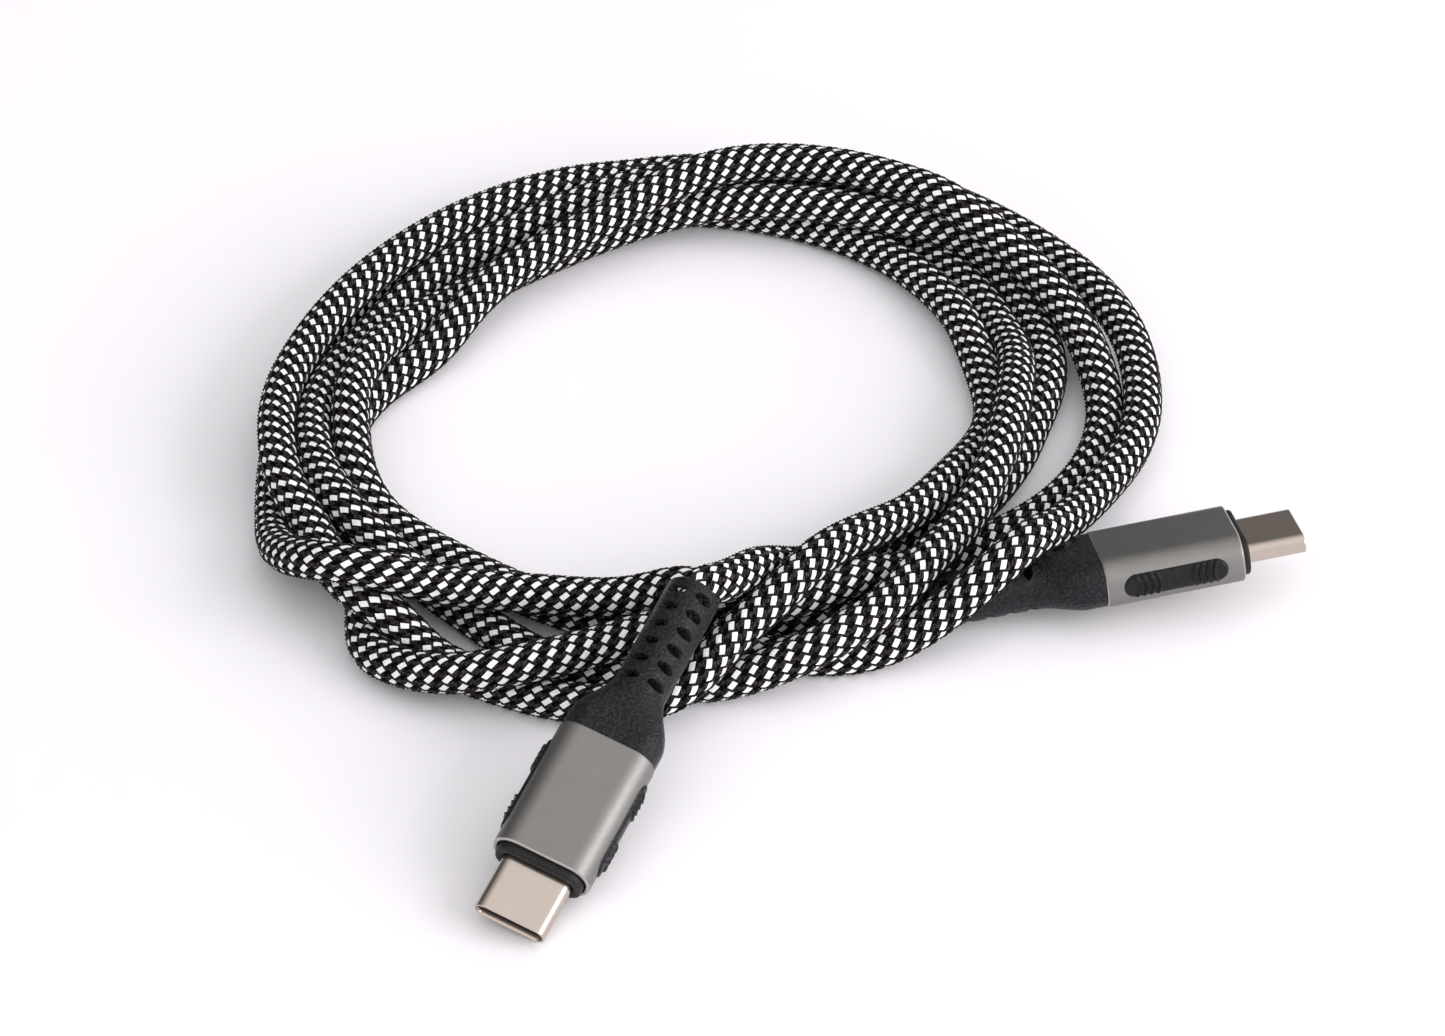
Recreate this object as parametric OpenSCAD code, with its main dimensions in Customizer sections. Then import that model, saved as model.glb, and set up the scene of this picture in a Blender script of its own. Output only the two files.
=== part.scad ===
// Braided charging cable with a Type-C plug on each end, lying loosely coiled on a flat surface.
// Millimetres, +Z up, z = 0 is the surface. The origin is under the middle of the box round the two plugs.
// Each plug is drawn along its own +X, from the boot's open end at x = 0 to the plug's mouth at
// x = plug_len.

/* [Cord] */
// Outer diameter of the braided cord
cord_d = 4.5; // [3.5:0.1:4.5]
// Outer diameter of the jacket under the braid
jacket_d = 3.8; // [3:0.1:3.8]
// Number of flat sides round each cord tube
cord_sides = 8; // [8:2:12]

/* [Strain relief boot] */
// Length of the round slotted part of the boot
boot_neck_len = 15; // [14.6:0.2:18]
// Length of the whole boot
boot_len = 22; // [22:0.5:26]
// Outer diameter of the boot's neck
boot_d = 6.2; // [6:0.1:6.8]
// Number of rings of slots
slot_rings = 6; // [3:1:6]
// Distance between the rings of slots
slot_pitch = 2.4; // [2:0.1:2.4]
// Width of a slot, along the boot
slot_w = 0.85; // [0.5:0.05:1.2]
// Length of a slot, round the boot
slot_len = 1.9; // [1:0.1:2.4]
// Angle of each row of slots from the middle of the plug's wide face
slot_turn = 32; // [25:1:45]

/* [Sleeve] */
// Length of the aluminium sleeve
sleeve_len = 16; // [15:0.5:18]
// Width of the sleeve
sleeve_w = 11.4; // [11.4:0.1:12.4]
// Thickness of the sleeve, flat face to flat face
sleeve_t = 6; // [6:0.1:7]
// Radius of the sleeve's long corners
sleeve_r = 2.6; // [2:0.1:2.9]
// Wall of the sleeve
sleeve_wall = 0.5; // [0.4:0.05:0.5]
// Length of the grip pad in each narrow side
grip_len = 12.2; // [8:0.1:12.6]
// Height of the grip pad
grip_h = 3; // [1.6:0.1:3.2]
// How far the grip pad stands out of the sleeve
grip_proud = 0.35; // [0.1:0.05:0.5]
// How far the black nose ring stands out of the sleeve
nose_proud = 0.8; // [0.4:0.1:1.2]

/* [Type-C plug] */
// Width of the steel plug shell
shell_w = 8.25; // [8.2:0.01:8.28]
// Height of the steel plug shell
shell_h = 2.4; // [2.36:0.01:2.44]
// Length of the shell in front of the nose ring
shell_out = 6.65; // [6.5:0.05:6.8]
// Wall of the shell
shell_wall = 0.25; // [0.2:0.01:0.25]
// Number of contacts in each row
contact_count = 12; // [12:1:12]
// Distance between contacts
contact_pitch = 0.5; // [0.5:0.01:0.5]

/* [Hidden] */
$fn = 48;
cord_r = cord_d / 2;
jacket_r = jacket_d / 2;
fit = 0.05;

// Stations along the plug
sleeve_x = boot_len;
nose_x = sleeve_x + sleeve_len;
shell_front = nose_x + nose_proud + shell_out;
plug_len = shell_front;
braid_end_x = 14;
jacket_end_x = sleeve_x + 4.4;
can_x = sleeve_x + 4.8;
can_end_x = nose_x - 0.8;
nose_back_x = nose_x - 0.6;
shell_back_x = nose_x - 5;
card_x = sleeve_x + 6.4;
card_end_x = nose_x - 2;
insulator_x = nose_x - 1.8;
insulator_end_x = shell_front - 0.45;
mouth_x = nose_x + 1.6;

// Cross sections inside the sleeve, each as width, height and corner radius
mould = [sleeve_w - 2 * sleeve_wall - 0.2, sleeve_t - 2 * sleeve_wall - 0.2, sleeve_r - sleeve_wall - 0.1];
can = [8.8, 3.4, 1];
can_wall = 0.2;
insulator = [7.7, 1.64, 0.81];
mouth_w = 6.8;
mouth_h = 0.96;
card = [7.2, 0.6];
contact_w = 0.24;
contact_t = 0.14;
latch_y = 3.46;
spring_t = 0.1;

// Each plug: the point where the cord leaves its boot, then heading, nose-down angle and roll
coil_at = [-20, 53.1, 0];
plug_a = [[-3, -44, 14.5], 243.5, 15.8, -15];
plug_b = [[21, -33.5, 3.2], 10, -6, -14];

// Route of the cord's middle line, from plug A to plug B, one list for each turn of the coil.
// The points are measured from the middle of the coil.
turn_1 = [[-3, -44, 14.5], [-0.5, -39.5, 15], [2.5, -38, 11.5], [9.5, -29.5, 6], [21.5, -21.5, 2.5],
    [30.5, -12.5, 2.5], [36.5, 0, 2.5], [38, 16, 2.5], [32, 32, 4.5], [16, 38, 6.5], [0, 40.5, 6],
    [-16, 37, 3.5], [-29, 28, 2.5], [-38.5, 16, 4.5], [-44.5, 0, 7], [-41.5, -16, 4.5],
    [-28.5, -26.5, 2.5], [-14.5, -35, 2.5], [0, -40, 2.5]];
turn_2 = [[0, -40, 2.5], [16.5, -40.5, 2.5], [32, -32, 8.5], [41.5, -19, 6], [49.5, -2, 4.5],
    [48, 19.5, 4.5], [35.5, 35.5, 5.5], [18.5, 45, 6.5], [0, 46.5, 6.5], [-16.5, 40.5, 6],
    [-32.5, 31.5, 4], [-42.5, 17, 3.5], [-48, 0, 6], [-45, -18.5, 7], [-31, -31.5, 2.5],
    [-17, -43.5, 2.5], [0, -45, 2.5]];
turn_3 = [[0, -45, 2.5], [16.5, -39.5, 7], [26, -26, 7], [31.5, -13, 7], [34.5, 0, 6.5], [35, 14.5, 3],
    [29.5, 29.5, 2.5], [17.5, 43, 2.5], [0, 51, 3], [-18.5, 44, 5.5], [-34, 34, 7], [-46, 19, 7],
    [-52, 0, 7], [-48.5, -20.5, 6.5], [-37.5, -37, 2.5], [-20, -48, 2.5], [-5, -49.5, 4.5]];
turn_4 = [[-5, -49.5, 4.5], [0, -44.5, 7.5], [12.5, -31.5, 10.5], [21.5, -21.5, 7], [28, -11.5, 4.5],
    [32, -0.5, 2.5], [32, 12.5, 2.5], [27, 26.5, 2.5], [16, 37.5, 2.5], [0, 43.5, 2.5],
    [-17.5, 42.5, 2.5], [-35.5, 34, 2.5], [-46.5, 19, 2.5], [-52, 0, 2.5], [-51.5, -19.5, 3],
    [-48, -28, 6], [-37.5, -33.5, 7.5], [-16, -36, 7], [1, -37.5, 7.5]];
turn_5 = [[1, -37.5, 7.5], [13.5, -34, 7], [25, -25, 3], [38, -15.5, 2.5], [45.5, 0, 2.5],
    [42.5, 17.5, 5.5], [31.5, 31.5, 9.5], [17, 41, 10.5], [0, 42.5, 10], [-14.5, 35, 7.5], [-27, 26.5, 5],
    [-36, 15, 3], [-44.5, 0.5, 2.5], [-44, -19, 2.5], [-40, -35, 2.5], [-37, -42, 3], [-30, -47.5, 5.5],
    [-18, -46, 7], [-6, -40.5, 6.5]];
tail_end = [[-6, -40.5, 6.5], [2, -35, 2.5], [13.5, -33.5, 2.5], [21, -33.5, 3.2]];

// ---- placing ----

module in_coil() {
    translate(coil_at)
        children();
}

module at_plug(plug) {
    in_coil()
        translate(plug[0])
            rotate([plug[3], plug[2], plug[1]])
                children();
}

// ---- sections and solids along +X ----

// Rounded rectangle of width w, height h and corner radius r, made of true arcs
module rounded(w, h, r) {
    square([w - 2 * r, h], center = true);
    square([w, h - 2 * r], center = true);
    for (sx = [-1, 1], sy = [-1, 1])
        translate([sx * (w / 2 - r), sy * (h / 2 - r)])
            circle(r = r);
}

// Bar with the children's section, its width along Y and height along Z, from x0 to x1
module bar(x0, x1) {
    translate([x0, 0, 0])
        rotate([90, 0, 90])
            linear_extrude(x1 - x0)
                children();
}

module rod(x0, x1, r) {
    translate([x0, 0, 0])
        rotate([0, 90, 0])
            cylinder(r = r, h = x1 - x0);
}

// ---- cord ----

function unit(v) = v / norm(v);

// Direction of the route at point i: the mean of the two legs that meet there
function heading_at(path, i) =
    i == 0 ? unit(path[1] - path[0]) :
    i == len(path) - 1 ? unit(path[i] - path[i - 1]) :
    unit(unit(path[i] - path[i - 1]) + unit(path[i + 1] - path[i]));

// Direction of the route at a ring, with the neighbouring turn's leg counted at a joint
function ring_heading(path, i, before, after) =
    i == 0 && before != undef ? unit(unit(path[0] - before) + unit(path[1] - path[0])) :
    i == len(path) - 1 && after != undef ? unit(unit(path[i] - path[i - 1]) + unit(after - path[i])) :
    heading_at(path, i);

function ring_points(centre, along) =
    let (side = unit(cross([0, 0, 1], along)), up = cross(along, side))
    [for (k = [0 : cord_sides - 1])
        let (a = 360 * (k + 0.5) / cord_sides)
        centre + cord_r * (cos(a) * side + sin(a) * up)];

// Tube swept along the path; before and after are the points next to its ends on the neighbouring tubes
module cord_tube(path, before, after) {
    rings = len(path);
    points = [for (i = [0 : rings - 1]) each ring_points(path[i], ring_heading(path, i, before, after))];
    sides = [for (i = [0 : rings - 2], k = [0 : cord_sides - 1])
        let (a = i * cord_sides + k, b = i * cord_sides + (k + 1) % cord_sides)
        each [[a, a + cord_sides, b + cord_sides], [a, b + cord_sides, b]]];
    first_cap = [for (k = [0 : cord_sides - 1]) k];
    last_cap = [for (k = [cord_sides - 1 : -1 : 0]) (rings - 1) * cord_sides + k];
    color("dimgray")
        in_coil()
            polyhedron(points, concat(sides, [first_cap, last_cap]));
}

function last_but_one(path) = path[len(path) - 2];

module cord_turn_1() { cord_tube(turn_1, undef, turn_2[1]); }
module cord_turn_2() { cord_tube(turn_2, last_but_one(turn_1), turn_3[1]); }
module cord_turn_3() { cord_tube(turn_3, last_but_one(turn_2), turn_4[1]); }
module cord_turn_4() { cord_tube(turn_4, last_but_one(turn_3), turn_5[1]); }
module cord_turn_5() { cord_tube(turn_5, last_but_one(turn_4), tail_end[1]); }
module cord_tail_end() { cord_tube(tail_end, last_but_one(turn_5), undef); }

// ---- outside of the plug ----

// Strain relief: a slotted round neck that swells into the sleeve's oval, bored for the cable
module boot() {
    shoulder_x = boot_len - 2.5;
    first_slot_x = 1.8;
    color("#2e2d33")
        difference() {
            union() {
                rod(0, boot_neck_len, boot_d / 2);
                hull() {
                    rod(boot_neck_len - 0.5, boot_neck_len, boot_d / 2, $fn = 32);
                    bar(shoulder_x - 0.1, shoulder_x)
                        rounded(sleeve_w - 0.2, sleeve_t - 0.2, sleeve_r, $fn = 32);
                }
                bar(shoulder_x, boot_len)
                    rounded(sleeve_w - 0.2, sleeve_t - 0.2, sleeve_r);
            }
            rod(-1, braid_end_x + fit, cord_r + fit);
            rod(braid_end_x, boot_len + 1, jacket_r + fit);
            for (i = [0 : slot_rings - 1], turn = [slot_turn, -slot_turn], half = [0, 180])
                rotate([turn + half, 0, 0])
                    translate([first_slot_x + i * slot_pitch, 0, boot_d / 2])
                        cube([slot_w, slot_len, 2 * (boot_d / 2 - cord_r)], center = true);
        }
}

// Stadium-shaped prism across the plug that the grip pads fill and the sleeve is cut by
module grip_window(gap) {
    r = grip_h / 2 + gap;
    half = grip_len / 2 - grip_h / 2;
    translate([sleeve_x + sleeve_len / 2, 0, 0])
        rotate([90, 0, 0])
            linear_extrude(2 * sleeve_w, center = true) {
                square([2 * half, 2 * r], center = true);
                for (side = [-1, 1])
                    translate([side * half, 0])
                        circle(r = r);
            }
}

module sleeve() {
    color("#8c8a87")
        difference() {
            bar(sleeve_x, nose_x)
                rounded(sleeve_w, sleeve_t, sleeve_r);
            bar(sleeve_x - 1, nose_x + 1)
                rounded(sleeve_w - 2 * sleeve_wall, sleeve_t - 2 * sleeve_wall, sleeve_r - sleeve_wall);
            grip_window(fit);
        }
}

// Grip pad in one narrow side of the sleeve; side is 1 on the +Y side and -1 on the other
module grip(side) {
    color("#2b2a2f")
        intersection() {
            difference() {
                bar(sleeve_x, nose_x)
                    rounded(sleeve_w + 2 * grip_proud, sleeve_t + 2 * grip_proud, sleeve_r + grip_proud);
                bar(sleeve_x - 1, nose_x + 1)
                    rounded(sleeve_w - 2 * sleeve_wall, sleeve_t - 2 * sleeve_wall, sleeve_r - sleeve_wall);
            }
            grip_window(0);
            translate([sleeve_x, side > 0 ? 0 : -sleeve_w, -sleeve_t])
                cube([sleeve_len, sleeve_w, 2 * sleeve_t]);
        }
}

module nose_ring() {
    color("#222022")
        difference() {
            bar(nose_back_x, nose_x + nose_proud)
                rounded(mould[0], mould[1], mould[2]);
            bar(nose_back_x - 1, nose_x + nose_proud + 1)
                rounded(shell_w + 2 * fit, shell_h + 2 * fit, shell_h / 2 + fit - 0.01);
        }
}

module plug_shell() {
    inner_h = shell_h - 2 * shell_wall;
    color("#c9bfb4")
        difference() {
            bar(shell_back_x, shell_front)
                rounded(shell_w, shell_h, shell_h / 2 - 0.01);
            bar(shell_back_x - 1, shell_front + 1)
                rounded(shell_w - 2 * shell_wall, inner_h, inner_h / 2 - 0.01);
        }
}

// ---- inside the plug's mouth ----

// Middle of each contact, across the plug
function contact_ys() = [for (i = [0 : contact_count - 1]) (i - (contact_count - 1) / 2) * contact_pitch];

// Moulded tongue housing: a mouth for the socket's tongue, a groove for each contact and slots for the latch
module contact_housing() {
    groove_w = contact_w + 2 * fit;
    groove_top = 0.68;
    color("#1f1f22")
        difference() {
            bar(insulator_x, insulator_end_x)
                rounded(insulator[0], insulator[1], insulator[2]);
            translate([mouth_x, -mouth_w / 2, -mouth_h / 2])
                cube([plug_len, mouth_w, mouth_h]);
            for (y = contact_ys(), side = [-1, 1])
                translate([insulator_x - 1, y - groove_w / 2, side > 0 ? mouth_h / 2 - 0.02 : -groove_top])
                    cube([insulator_end_x - insulator_x + 0.4, groove_w, groove_top - mouth_h / 2 + 0.02]);
            translate([insulator_x - 1, -latch_y - 0.3, -0.12])
                cube([mouth_x - insulator_x + 1.5, 2 * latch_y + 0.6, 0.24]);
            for (side = [-1, 1])
                translate([insulator_x + 1.6, side * (latch_y + 0.05) - 0.25, -0.4])
                    cube([insulator_end_x - insulator_x - 2.2, 0.5, 0.8]);
        }
}

// One row of spring contacts; side is 1 for the upper row and -1 for the lower
module contact_row(side) {
    tail_z = card[1] / 2 + 0.02;
    beam_z = mouth_h / 2 + 0.03;
    tip_z = mouth_h / 2 - 0.16;
    profile = [
        [card_end_x - 2, tail_z], [card_end_x - 0.2, tail_z], [insulator_x, beam_z],
        [plug_len - 2.6, beam_z], [plug_len - 2, tip_z], [plug_len - 1.3, beam_z],
        [plug_len - 1.3, beam_z + contact_t],
        [plug_len - 2, tip_z + contact_t], [plug_len - 2.6, beam_z + contact_t],
        [insulator_x - 0.2, beam_z + contact_t], [card_end_x - 0.4, tail_z + contact_t],
        [card_end_x - 2, tail_z + contact_t]];
    color("#c9a24a")
        mirror([0, 0, side > 0 ? 0 : 1])
            for (y = contact_ys())
                translate([0, y + contact_w / 2, 0])
                    rotate([90, 0, 0])
                        linear_extrude(contact_w)
                            polygon(profile);
}

// Steel mid plate with the two side latch arms that snap into the socket's tongue
module latch_plate() {
    plate_t = 0.16;
    arm_t = 0.16;
    arm_h = 0.6;
    arm_x = insulator_x + 1.8;
    arm_end_x = insulator_end_x - 0.9;
    color("#b7b9bc") {
        translate([insulator_x + 0.1, -latch_y - arm_t, -plate_t / 2])
            cube([mouth_x - insulator_x + 0.2, 2 * (latch_y + arm_t), plate_t]);
        for (side = [-1, 1]) {
            translate([arm_x, side * (latch_y + arm_t / 2) - arm_t / 2, -arm_h / 2])
                cube([arm_end_x - arm_x, arm_t, arm_h]);
            translate([arm_end_x - 0.9, side * (latch_y - 0.11) - 0.13, -arm_h / 2])
                cube([0.5, 0.26, arm_h]);
        }
    }
}

// Spring strips that touch the socket's shell, above and below the housing
module ground_springs() {
    strip_w = 5.6;
    strip_z = insulator[1] / 2 + 0.01;
    color("#b7b9bc")
        for (side = [-1, 1])
            translate([plug_len - 4.2, -strip_w / 2, side > 0 ? strip_z : -strip_z - spring_t])
                cube([2.8, strip_w, spring_t]);
}

// ---- inside the sleeve ----

module circuit_card() {
    color("#1f5f3f")
        translate([card_x, -card[0] / 2, -card[1] / 2])
            cube([card_end_x - card_x, card[0], card[1]]);
}

// Cable marker chip and its two capacitors, on top of the card
module marker_chip() {
    chip_x = card_x + 2.2;
    color("#242428") {
        translate([chip_x, 0.4, card[1] / 2])
            cube([2, 2, 0.55]);
        for (y = [-2.6, -1.2])
            translate([chip_x + 0.4, y, card[1] / 2])
                cube([1, 0.5, 0.5]);
    }
}

// Folded steel can round the card and the back of the shell
module shield_can() {
    color("#bfc1c4")
        difference() {
            bar(can_x, can_end_x)
                rounded(can[0], can[1], can[2]);
            bar(can_x - 1, can_end_x + 1)
                rounded(can[0] - 2 * can_wall, can[1] - 2 * can_wall, can[2] - can_wall);
        }
}

// Moulded block that holds the can and the cable inside the sleeve
module inner_mould() {
    color("#3a3a40")
        difference() {
            bar(sleeve_x + fit, nose_back_x - fit)
                rounded(mould[0], mould[1], mould[2]);
            bar(can_x - fit, nose_back_x + 1)
                rounded(can[0] + 2 * fit, can[1] + 2 * fit, can[2] + fit);
            rod(sleeve_x - 1, can_x + 1, jacket_r + 0.3);
        }
}

// Ring crimped round the jacket and the cable's shield
module crimp_ferrule() {
    color("#a9adb2")
        difference() {
            rod(jacket_end_x - 3, jacket_end_x - 0.2, jacket_r + 0.25);
            rod(jacket_end_x - 4, jacket_end_x + 1, jacket_r + 0.02);
        }
}

// The cord's end inside the plug: braided as far as the boot's shoulder, then bare jacket
module cable_end() {
    color("#4a4a4e") {
        rod(0, braid_end_x, cord_r);
        rod(braid_end_x - 0.1, jacket_end_x, jacket_r);
    }
}

// Stripped wire from the jacket's end face to its pad on the card
module wire(y, z, r) {
    translate([0, y, z])
        rod(jacket_end_x, card_x + 1, r);
}

power_r = 0.5;
signal_r = 0.3;
power_z = card[1] / 2 + power_r + 0.02;
signal_z = card[1] / 2 + signal_r + 0.02;

module power_wire() { color("firebrick") wire(-1.15, power_z, power_r); }
module ground_wire() { color("#202020") wire(1.15, power_z, power_r); }
module channel_wire() { color("royalblue") wire(0, signal_z, signal_r); }
module data_wires() {
    color("seagreen")
        for (side = [-1, 1])
            wire(side * 0.5, -signal_z, signal_r);
}

// ---- plug A, nose down over the coil's front ----

module boot_a() { at_plug(plug_a) boot(); }
module sleeve_a() { at_plug(plug_a) sleeve(); }
module grip_left_a() { at_plug(plug_a) grip(1); }
module grip_right_a() { at_plug(plug_a) grip(-1); }
module nose_ring_a() { at_plug(plug_a) nose_ring(); }
module plug_shell_a() { at_plug(plug_a) plug_shell(); }
module insulator_a() { at_plug(plug_a) contact_housing(); }
module upper_contacts_a() { at_plug(plug_a) contact_row(1); }
module lower_contacts_a() { at_plug(plug_a) contact_row(-1); }
module latch_plate_a() { at_plug(plug_a) latch_plate(); }
module ground_springs_a() { at_plug(plug_a) ground_springs(); }
module circuit_card_a() { at_plug(plug_a) circuit_card(); }
module marker_chip_a() { at_plug(plug_a) marker_chip(); }
module shield_can_a() { at_plug(plug_a) shield_can(); }
module inner_mould_a() { at_plug(plug_a) inner_mould(); }
module crimp_ferrule_a() { at_plug(plug_a) crimp_ferrule(); }
module cable_end_a() { at_plug(plug_a) cable_end(); }
module power_wire_a() { at_plug(plug_a) power_wire(); }
module ground_wire_a() { at_plug(plug_a) ground_wire(); }
module channel_wire_a() { at_plug(plug_a) channel_wire(); }
module data_wires_a() { at_plug(plug_a) data_wires(); }

// ---- plug B, flat on the surface at the right ----

module boot_b() { at_plug(plug_b) boot(); }
module sleeve_b() { at_plug(plug_b) sleeve(); }
module grip_left_b() { at_plug(plug_b) grip(1); }
module grip_right_b() { at_plug(plug_b) grip(-1); }
module nose_ring_b() { at_plug(plug_b) nose_ring(); }
module plug_shell_b() { at_plug(plug_b) plug_shell(); }
module insulator_b() { at_plug(plug_b) contact_housing(); }
module upper_contacts_b() { at_plug(plug_b) contact_row(1); }
module lower_contacts_b() { at_plug(plug_b) contact_row(-1); }
module latch_plate_b() { at_plug(plug_b) latch_plate(); }
module ground_springs_b() { at_plug(plug_b) ground_springs(); }
module circuit_card_b() { at_plug(plug_b) circuit_card(); }
module shield_can_b() { at_plug(plug_b) shield_can(); }
module inner_mould_b() { at_plug(plug_b) inner_mould(); }
module crimp_ferrule_b() { at_plug(plug_b) crimp_ferrule(); }
module cable_end_b() { at_plug(plug_b) cable_end(); }
module power_wire_b() { at_plug(plug_b) power_wire(); }
module ground_wire_b() { at_plug(plug_b) ground_wire(); }
module channel_wire_b() { at_plug(plug_b) channel_wire(); }
module data_wires_b() { at_plug(plug_b) data_wires(); }

cord_turn_1();
cord_turn_2();
cord_turn_3();
cord_turn_4();
cord_turn_5();
cord_tail_end();
boot_a();
sleeve_a();
grip_left_a();
grip_right_a();
nose_ring_a();
plug_shell_a();
insulator_a();
upper_contacts_a();
lower_contacts_a();
latch_plate_a();
ground_springs_a();
circuit_card_a();
marker_chip_a();
shield_can_a();
inner_mould_a();
crimp_ferrule_a();
cable_end_a();
power_wire_a();
ground_wire_a();
channel_wire_a();
data_wires_a();
boot_b();
sleeve_b();
grip_left_b();
grip_right_b();
nose_ring_b();
plug_shell_b();
insulator_b();
upper_contacts_b();
lower_contacts_b();
latch_plate_b();
ground_springs_b();
circuit_card_b();
shield_can_b();
inner_mould_b();
crimp_ferrule_b();
cable_end_b();
power_wire_b();
ground_wire_b();
channel_wire_b();
data_wires_b();
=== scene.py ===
"""Looks of a braided charging cable: a settled cord with a woven braid, and a plug on each end.

Metres, +Z up, z = 0 is the surface that the cable lies on. A plug's own frame has +X towards its tip and
x = 0 at the boot's open end, with y across the plug's width and z across its thickness.
"""

import math

import bpy
import numpy as np
from mathutils import Matrix, Vector


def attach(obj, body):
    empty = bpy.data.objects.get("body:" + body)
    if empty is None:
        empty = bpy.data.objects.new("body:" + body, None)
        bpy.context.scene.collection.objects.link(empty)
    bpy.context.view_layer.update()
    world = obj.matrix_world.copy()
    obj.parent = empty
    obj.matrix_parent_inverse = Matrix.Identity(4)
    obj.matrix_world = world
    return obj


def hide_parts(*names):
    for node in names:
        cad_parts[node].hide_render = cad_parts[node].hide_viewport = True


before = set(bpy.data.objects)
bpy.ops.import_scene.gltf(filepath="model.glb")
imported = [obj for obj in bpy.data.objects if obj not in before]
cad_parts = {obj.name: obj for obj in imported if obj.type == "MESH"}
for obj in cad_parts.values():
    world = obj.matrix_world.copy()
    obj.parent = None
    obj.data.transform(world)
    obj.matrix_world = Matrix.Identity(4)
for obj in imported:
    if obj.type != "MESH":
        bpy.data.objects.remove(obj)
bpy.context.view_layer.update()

# ---- sizes, as in the CAD model ----

CORD_D = 0.0045
CORD_R = CORD_D / 2
BOOT_LEN = 0.022
BOOT_NECK_LEN = 0.015
BOOT_R = 0.0031
SLEEVE_LEN = 0.016
SLEEVE = (0.0114, 0.006, 0.0026)
SLEEVE_WALL = 0.0005
GRIP_LEN = 0.0122
GRIP_H = 0.003
GRIP_PROUD = 0.00035
NOSE = (0.0102, 0.0048, 0.002)
NOSE_PROUD = 0.0008
SHELL = (0.00825, 0.0024, 0.00119)
SHELL_WALL = 0.00025
SHELL_OUT = 0.00665
NOSE_X = BOOT_LEN + SLEEVE_LEN
TIP_X = NOSE_X + NOSE_PROUD + SHELL_OUT

COIL_AT = Vector((-0.02, 0.0531, 0))
# Each plug: where the cord leaves its boot, from the middle of the coil, then its heading, its nose-down
# angle and its roll, in degrees
PLUGS = {
    "a": ((-0.003, -0.044, 0.0145), 243.5, 15.8, -15),
    "b": ((0.021, -0.0335, 0.0032), 10, -6, -14),
}

# The cord's route from plug A to plug B, from the middle of the coil, one list for each turn
TURN_1 = [(-0.003, -0.044, 0.0145), (-0.0005, -0.0395, 0.015), (0.0025, -0.038, 0.0115),
    (0.0095, -0.0295, 0.006), (0.0215, -0.0215, 0.0025), (0.0305, -0.0125, 0.0025), (0.0365, 0, 0.0025),
    (0.038, 0.016, 0.0025), (0.032, 0.032, 0.0045), (0.016, 0.038, 0.0065), (0, 0.0405, 0.006),
    (-0.016, 0.037, 0.0035), (-0.029, 0.028, 0.0025), (-0.0385, 0.016, 0.0045), (-0.0445, 0, 0.007),
    (-0.0415, -0.016, 0.0045), (-0.0285, -0.0265, 0.0025), (-0.0145, -0.035, 0.0025)]
TURN_2 = [(0, -0.04, 0.0025), (0.0165, -0.0405, 0.0025), (0.032, -0.032, 0.0085), (0.0415, -0.019, 0.006),
    (0.0495, -0.002, 0.0045), (0.048, 0.0195, 0.0045), (0.0355, 0.0355, 0.0055), (0.0185, 0.045, 0.0065),
    (0, 0.0465, 0.0065), (-0.0165, 0.0405, 0.006), (-0.0325, 0.0315, 0.004), (-0.0425, 0.017, 0.0035),
    (-0.048, 0, 0.006), (-0.045, -0.0185, 0.007), (-0.031, -0.0315, 0.0025), (-0.017, -0.0435, 0.0025)]
TURN_3 = [(0, -0.045, 0.0025), (0.0165, -0.0395, 0.007), (0.026, -0.026, 0.007), (0.0315, -0.013, 0.007),
    (0.0345, 0, 0.0065), (0.035, 0.0145, 0.003), (0.0295, 0.0295, 0.0025), (0.0175, 0.043, 0.0025),
    (0, 0.051, 0.003), (-0.0185, 0.044, 0.0055), (-0.034, 0.034, 0.007), (-0.046, 0.019, 0.007),
    (-0.052, 0, 0.007), (-0.0485, -0.0205, 0.0065), (-0.0375, -0.037, 0.0025), (-0.02, -0.048, 0.0025)]
TURN_4 = [(-0.005, -0.0495, 0.0045), (0, -0.0445, 0.0075), (0.0125, -0.0315, 0.0105),
    (0.0215, -0.0215, 0.007), (0.028, -0.0115, 0.0045), (0.032, -0.0005, 0.0025), (0.032, 0.0125, 0.0025),
    (0.027, 0.0265, 0.0025), (0.016, 0.0375, 0.0025), (0, 0.0435, 0.0025), (-0.0175, 0.0425, 0.0025),
    (-0.0355, 0.034, 0.0025), (-0.0465, 0.019, 0.0025), (-0.052, 0, 0.0025), (-0.0515, -0.0195, 0.003),
    (-0.048, -0.028, 0.006), (-0.0375, -0.0335, 0.0075), (-0.016, -0.036, 0.007)]
TURN_5 = [(0.001, -0.0375, 0.0075), (0.0135, -0.034, 0.007), (0.025, -0.025, 0.003),
    (0.038, -0.0155, 0.0025), (0.0455, 0, 0.0025), (0.0425, 0.0175, 0.0055), (0.0315, 0.0315, 0.0095),
    (0.017, 0.041, 0.0105), (0, 0.0425, 0.01), (-0.0145, 0.035, 0.0075), (-0.027, 0.0265, 0.005),
    (-0.036, 0.015, 0.003), (-0.0445, 0.0005, 0.0025), (-0.044, -0.019, 0.0025), (-0.04, -0.035, 0.0025),
    (-0.037, -0.042, 0.003), (-0.03, -0.0475, 0.0055), (-0.018, -0.046, 0.007)]
TAIL_END = [(-0.006, -0.0405, 0.0065), (0.002, -0.035, 0.0025), (0.0135, -0.0335, 0.0025),
    (0.021, -0.0335, 0.0032)]


def plug_matrix(end):
    at, heading, nose_down, roll = PLUGS[end]
    turn = Matrix.Rotation(math.radians(heading), 4, "Z")
    turn = turn @ Matrix.Rotation(math.radians(nose_down), 4, "Y")
    turn = turn @ Matrix.Rotation(math.radians(roll), 4, "X")
    return Matrix.Translation(COIL_AT + Vector(at)) @ turn


# ---- camera ----

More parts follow.
